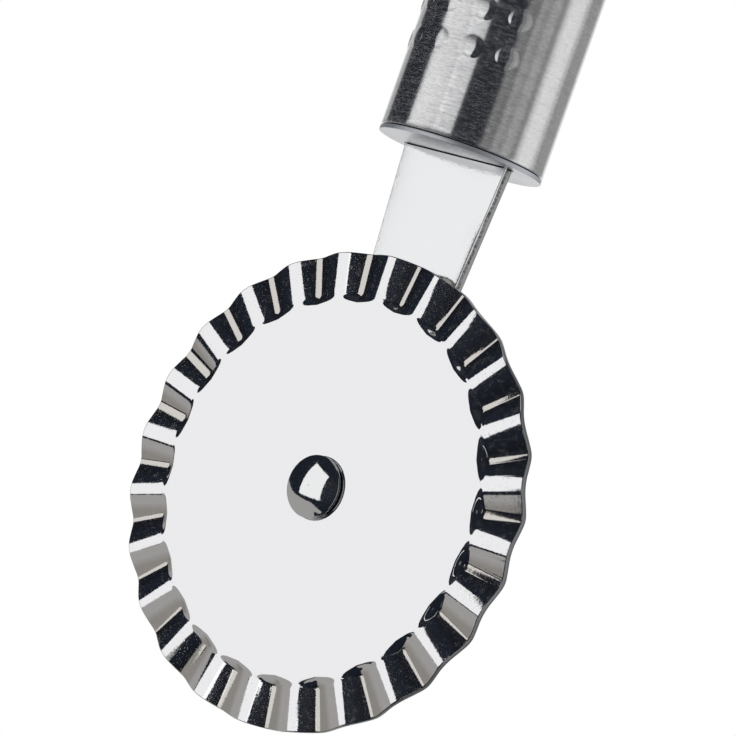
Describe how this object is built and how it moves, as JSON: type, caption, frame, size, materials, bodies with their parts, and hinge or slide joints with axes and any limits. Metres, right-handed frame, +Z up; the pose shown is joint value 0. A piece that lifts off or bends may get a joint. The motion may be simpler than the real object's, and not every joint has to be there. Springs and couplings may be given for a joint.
{
  "type": "pastry cutter wheel",
  "caption": "Hand tool with a fluted steel disc that turns on a rivet at the end of a flat strip, and a round tubular handle with raised pips and a hanging loop.",
  "frame": {"origin": "on the handle's centre line, at the height of the wheel's lowest point", "axes": "+Z up along the handle, X across the strip, and the wheel's axis along Y with its polished face towards -Y"},
  "size_m": [0.056, 0.0202, 0.1942],
  "materials": {
    "polished_steel": "mirror-polished stainless steel sheet",
    "rivet_steel": "polished stainless steel rivet",
    "strip_steel": "polished strip with a rough sheared edge",
    "cap_steel": "polished stainless steel, slightly satin",
    "brushed_steel": "stainless steel tube, finely brushed round its girth",
    "plain_steel": "plain turned steel",
    "wire_steel": "bright drawn steel wire"
  },
  "bodies": {
    "handle": {"handle_tube": "brushed_steel", "front_cap": "cap_steel", "rear_cap": "cap_steel", "hanging_loop": "wire_steel", "shank_strip": "strip_steel", "axle_rivet": "rivet_steel", "wheel_spacer": "plain_steel", "rear_washer": "plain_steel"},
    "wheel": {"fluted_wheel": "polished_steel"}
  },
  "joints": [
    {"name": "wheel_spin", "type": "hinge", "parent": "handle", "child": "wheel", "pos_m": [0, 0, 0.028], "axis": [0, 1, 0], "continuous": true}
  ]
}
